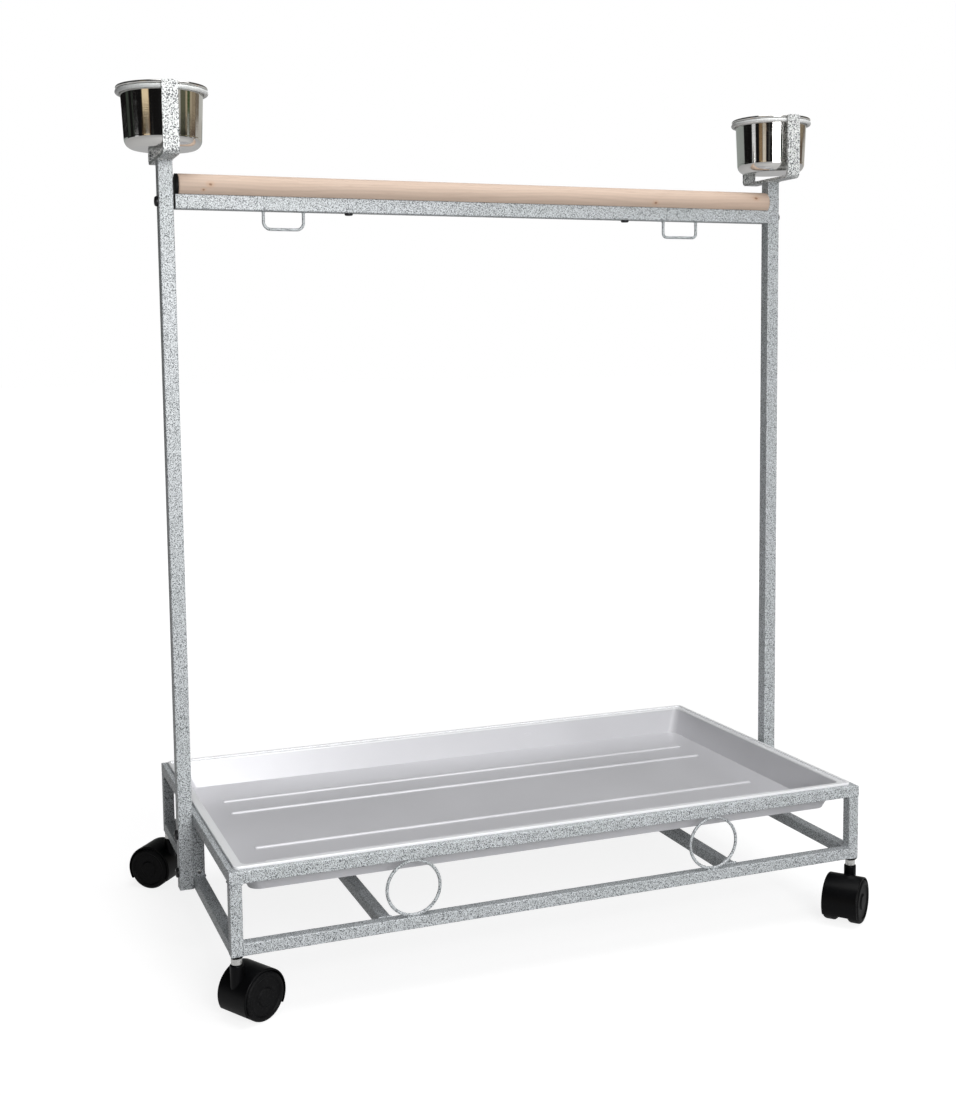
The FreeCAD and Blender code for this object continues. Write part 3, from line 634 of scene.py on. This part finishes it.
class STAND_OT_cups(bpy.types.Operator):
    """Polishes the cups and finishes their straps and rings, with the tacks that hold the rings"""

    bl_idname = "stand.cups"
    bl_label = "Cups and holders"

    def execute(self, context):
        finish = context.scene.stand_finish
        trim = context.scene.stand_trim
        dress(mirror_steel(), ["cup_left", "cup_right"])
        paint = hammered_paint("holder_paint", finish.holder, finish.holder_grain, 1.0)
        dress(paint, nodes_named("cup_strap"))
        dress(hammered_paint("ring_paint", finish.holder, finish.paint_grain, 0.15), nodes_named("cup_ring"))
        mesh = bmesh.new()
        for side in ("left", "right"):
            self.weld_ring(mesh, side, trim.weld * HOLDER_BEAD_SHARE)
            self.weld_post_top(mesh, side, trim.frame_weld)
        add_piece("holder_welds", mesh, paint, "base")
        return {"FINISHED"}

    def weld_ring(self, mesh, side, radius):
        """Beads above and below a cup ring's wire, where it meets the strap in front and behind."""
        low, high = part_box("cup_ring_" + side)
        centre = (low + high) / 2
        strap_low, strap_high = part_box("cup_strap_" + side)
        half = (strap_high.x - strap_low.x) * STRAP_WELD_SHARE
        wire = (high.z - low.z) / 2
        for y, inward in ((low.y, 1), (high.y, -1)):
            at = y + inward * wire * RING_BEAD_INWARD
            for z in (centre.z - wire * RING_BEAD_APART, centre.z + wire * RING_BEAD_APART):
                weld_bead(mesh, [Vector((centre.x - half, at, z)), Vector((centre.x + half, at, z))], radius)

    def weld_post_top(self, mesh, side, radius):
        """Beads along the front and rear of a post's top, under the strap."""
        low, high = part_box("post_" + side)
        for y in (low.y, high.y):
            weld_bead(mesh, [Vector((low.x, y, high.z)), Vector((high.x, y, high.z))], radius)


class STAND_OT_tray(bpy.types.Operator):
    """Finishes the tray"""

    bl_idname = "stand.tray"
    bl_label = "Tray"

    def execute(self, context):
        dress(tray_finish(context.scene.stand_finish.tray), ["tray"])
        return {"FINISHED"}


class STAND_OT_casters(bpy.types.Operator):
    """Finishes the hoods and wheels of the casters"""

    bl_idname = "stand.casters"
    bl_label = "Casters"

    def execute(self, context):
        finish = context.scene.stand_finish
        dress(black_plastic("hood_plastic", finish.plastic, 0.30, 0.0004), nodes_named("caster_hood"))
        dress(rolled_tread(finish.plastic), nodes_named("caster_wheel"))
        return {"FINISHED"}


# ---- floor, surroundings, lamps and camera --------------------------------------------------------
FLOOR_HALF = 30.0                  # half the side of the floor
FLOOR_GREY = 0.26                  # share of the backdrop's colour that the lamps light
FLOOR_GLOW_NEAR = 0.84             # the floor's own light to the camera under the stand
FLOOR_GLOW_IN_STEEL = 0.40         # and to anything that reflects it
FLOOR_FADE = 0.8, 2.6              # from here to there it rises to the backdrop's own white

# Name, place, the point it looks at, size of the square, watts.
LAMPS = (
    ("key_light", (-0.12, -2.0, 0.90), (0.0, 0.0, 0.60), 0.9, 25.0),
    ("top_light", (0.3, -0.4, 2.8), (0.0, 0.0, 0.1), 2.0, 45.0),
)

SENSOR_WIDTH = 36.0
FAR_END = 100.0

# The soft light of the surroundings on what isn't polished.
DIM_SIDE = (0.030, 0.030, 0.032, 1.0)
BRIGHT_SIDE = (0.70, 0.70, 0.71, 1.0)
REAR_FILL = (0.34, 0.34, 0.35, 1.0)

# What polished steel sees: upright bands round a dark room, as first and last turn in degrees from the
# front towards the left, and a colour. An upper and a lower row meet at a shelf, whose height changes
# with the turn. Heights and fades are the Z of a direction.
DARK_ROOM = (0.008, 0.0075, 0.0075, 1.0)
CEILING = (0.045, 0.045, 0.045, 1.0)
CEILING_FADE = 0.19, 0.26
GROUND = (0.80, 0.80, 0.80, 1.0)
GROUND_FADE = -0.35, -0.10
LAMP_GLOW = (1.0, 0.80, 0.52, 1.0)
LAMP_GLOW_TURN = 56.0              # degrees
LAMP_GLOW_HALF = 0.17              # half its width in radians
LAMP_GLOW_FADE = 0.0160, 0.0195    # above the shelf
BAND_EDGE = 0.026                  # radians over which a band fades on either side of its edge
SHELF_HIGH = 0.1450                # height of the shelf where its wave is nothing
SHELF_WAVE = 0.092                 # how much lower it lies where its wave is full
SHELF_TURN = 79.6                  # degrees that the wave is turned by
SHELF_EDGE = 0.001                 # half the height over which the rows meet
UPPER_ROOM = (
    (115.0, 128.0, (0.045, 0.055, 0.045)),
    (98.0, 104.0, (0.030, 0.036, 0.030)),
    (45.0, 52.0, (0.050, 0.022, 0.014)),
    (-44.0, -36.0, (0.55, 0.54, 0.50)),
    (-60.0, -44.0, (0.12, 0.12, 0.08)),
    (-84.0, -60.0, (0.44, 0.37, 0.26)),
    (-76.0, -66.0, (0.05, 0.08, 0.03)),
    (-100.0, -84.0, (0.32, 0.26, 0.18)),
    (-118.0, -100.0, (0.18, 0.145, 0.105)),
    (-172.0, -118.0, (0.56, 0.56, 0.53)),
)
LOWER_ROOM = (
    (133.0, 180.0, (0.34, 0.37, 0.35)),
    (-180.0, -146.0, (0.34, 0.37, 0.35)),
    (84.0, 97.0, (0.90, 0.91, 0.92)),
    (60.0, 71.0, (0.30, 0.20, 0.11)),
    (48.0, 59.0, (0.72, 0.66, 0.56)),
    (36.0, 39.0, (0.12, 0.12, 0.11)),
    (-74.0, -66.0, (0.50, 0.49, 0.46)),
    (-101.0, -74.0, (0.11, 0.08, 0.06)),
    (-146.0, -101.0, (0.50, 0.48, 0.44)),
)


class STAND_OT_stage(bpy.types.Operator):
    """Adds the pale floor, the studio light and the camera"""

    bl_idname = "stand.stage"
    bl_label = "Floor, light and camera"

    def execute(self, context):
        view = context.scene.stand_view
        self.floor(view)
        self.surroundings(context.scene, view)
        for settings in LAMPS:
            self.lamp(*settings)
        self.camera(context.scene, view)
        return {"FINISHED"}

    def floor(self, view):
        mesh = bmesh.new()
        bmesh.ops.create_grid(mesh, x_segments=1, y_segments=1, size=FLOOR_HALF)
        data = bpy.data.meshes.new("floor")
        mesh.to_mesh(data)
        mesh.free()
        plane = bpy.data.objects.new("floor", data)
        bpy.context.scene.collection.objects.link(plane)
        material, r = new_material("floor_white")
        path = r.node("LightPath")
        camera = path.number("Is Camera Ray")
        glossy = path.number("Is Glossy Ray")
        away = r.node("VectorMath", {"operation": "LENGTH"}, {0: r.place()}).number("Value").ramp(*FLOOR_FADE)
        diffuse = r.node("BsdfDiffuse", {}, {"Color": shade(view.backdrop, FLOOR_GREY)})
        seen = camera * (FLOOR_GLOW_NEAR + (1.0 - FLOOR_GLOW_NEAR) * away)
        strength = seen + glossy * FLOOR_GLOW_IN_STEEL
        glow = r.node("Emission", {}, {"Color": rgb(view.backdrop), "Strength": strength})
        both = r.node("AddShader", {}, {0: diffuse.out(), 1: glow.out()})
        r.node("OutputMaterial", {}, {"Surface": both.out()})
        data.materials.append(material)

    def surroundings(self, scene, view):
        """White to the camera, soft light from the right front, and to polished steel a room of bands."""
        world = bpy.data.worlds.new("studio")
        scene.world = world
        world.use_nodes = True
        r = Recipe(world.node_tree)
        path = r.node("LightPath")
        glossy = path.number("Is Glossy Ray")
        camera = path.number("Is Camera Ray")
        direction = r.node("TexCoord").out("Generated")
        side = r.axis("X", direction)
        depth = r.axis("Y", direction)
        height = r.axis("Z", direction)
        front = (side * 0.80 - depth * 0.60).ramp(-0.10, 1.0)
        soft = r.mix(front, DIM_SIDE, BRIGHT_SIDE)
        soft = r.mix(depth.ramp(0.35, 1.0) * 0.7, soft, REAR_FILL)
        turn = r.node("Math", {"operation": "ARCTAN2"}, {0: side * -1.0, 1: depth * -1.0}).number()
        wave = (turn * 0.5 + math.radians(SHELF_TURN)).sine().size()
        above_shelf = height + SHELF_WAVE * wave - SHELF_HIGH
        upper = self.room(r, turn, UPPER_ROOM)
        glow = self.band(turn, math.radians(LAMP_GLOW_TURN), LAMP_GLOW_HALF)
        upper = r.mix(glow * above_shelf.ramp(*LAMP_GLOW_FADE), upper, LAMP_GLOW)
        lower = self.room(r, turn, LOWER_ROOM)
        reflected = r.mix(above_shelf.ramp(-SHELF_EDGE, SHELF_EDGE), lower, upper)
        reflected = r.mix(height.ramp(*CEILING_FADE), reflected, CEILING)
        reflected = r.mix(1.0 - height.ramp(*GROUND_FADE), reflected, GROUND)
        light = r.mix(glossy, soft, reflected)
        shown = r.mix(camera, light, rgb(view.backdrop))
        background = r.node("Background", {}, {"Color": shown, "Strength": 1.0})
        r.node("OutputWorld", {}, {"Surface": background.out()})

    def room(self, r, turn, bands):
        """Upright bands of colour round a dark room."""
        seen = DARK_ROOM
        for first, last, colour in bands:
            middle = math.radians((first + last) / 2)
            half = math.radians((last - first) / 2)
            seen = r.mix(self.band(turn, middle, half), seen, rgb(colour))
        return seen

    def band(self, turn, centre, half_width):
        """1 within a band of turns, in radians, 0 outside it."""
        return 1.0 - (turn - centre).size().ramp(half_width - BAND_EDGE, half_width + BAND_EDGE)

    def lamp(self, name, place, target, size, power):
        data = bpy.data.lights.new(name, "AREA")
        data.size = size
        data.energy = power
        lamp = bpy.data.objects.new(name, data)
        lamp.location = place
        aim = Vector(target) - Vector(place)
        lamp.rotation_euler = aim.to_track_quat("-Z", "Y").to_euler()
        bpy.context.scene.collection.objects.link(lamp)

    def camera(self, scene, view):
        data = bpy.data.cameras.new("camera")
        data.lens = view.lens
        data.sensor_width = SENSOR_WIDTH
        data.shift_y = view.rise
        data.clip_end = FAR_END
        camera = bpy.data.objects.new("camera", data)
        scene.collection.objects.link(camera)
        heading, tilt, roll = view.heading, view.tilt, view.roll
        level = math.cos(tilt)
        ahead = Vector((math.sin(heading) * level, math.cos(heading) * level, math.sin(tilt)))
        right = Vector((math.cos(heading), -math.sin(heading), 0.0))
        up = right.cross(ahead)
        rolled_right = right * math.cos(roll) + up * math.sin(roll)
        rolled_up = up * math.cos(roll) - right * math.sin(roll)
        turn = Matrix((rolled_right, rolled_up, -ahead)).transposed()
        camera.matrix_world = Matrix.Translation(view.place) @ turn.to_4x4()
        scene.camera = camera
        scene.view_settings.view_transform = "Standard"


class STAND_PT_panel(bpy.types.Panel):
    """The steps of the stand, in order"""

    bl_idname = "STAND_PT_panel"
    bl_label = "Play stand"
    bl_space_type = "VIEW_3D"
    bl_region_type = "UI"
    bl_category = "Play stand"

    def draw(self, context):
        for group in (context.scene.stand_finish, context.scene.stand_trim, context.scene.stand_view):
            box = self.layout.box()
            for name in group.__annotations__:
                box.prop(group, name)
        for operator in OPERATORS:
            self.layout.operator(operator.bl_idname)


GROUPS = {"stand_finish": StandFinish, "stand_trim": StandTrim, "stand_view": StandView}
OPERATORS = (
    STAND_OT_frame,
    STAND_OT_perch,
    STAND_OT_cups,
    STAND_OT_tray,
    STAND_OT_casters,
    STAND_OT_stage,
)


def register():
    for group in GROUPS.values():
        bpy.utils.register_class(group)
    for operator in OPERATORS:
        bpy.utils.register_class(operator)
    bpy.utils.register_class(STAND_PT_panel)
    for name, group in GROUPS.items():
        setattr(bpy.types.Scene, name, PointerProperty(type=group))


def unregister():
    for name in GROUPS:
        delattr(bpy.types.Scene, name)
    bpy.utils.unregister_class(STAND_PT_panel)
    for operator in reversed(OPERATORS):
        bpy.utils.unregister_class(operator)
    for group in reversed(list(GROUPS.values())):
        bpy.utils.unregister_class(group)


def main():
    register()
    bpy.ops.stand.frame()
    bpy.ops.stand.perch()
    bpy.ops.stand.cups()
    bpy.ops.stand.tray()
    bpy.ops.stand.casters()
    bpy.ops.stand.stage()


if __name__ == "__main__":
    main()
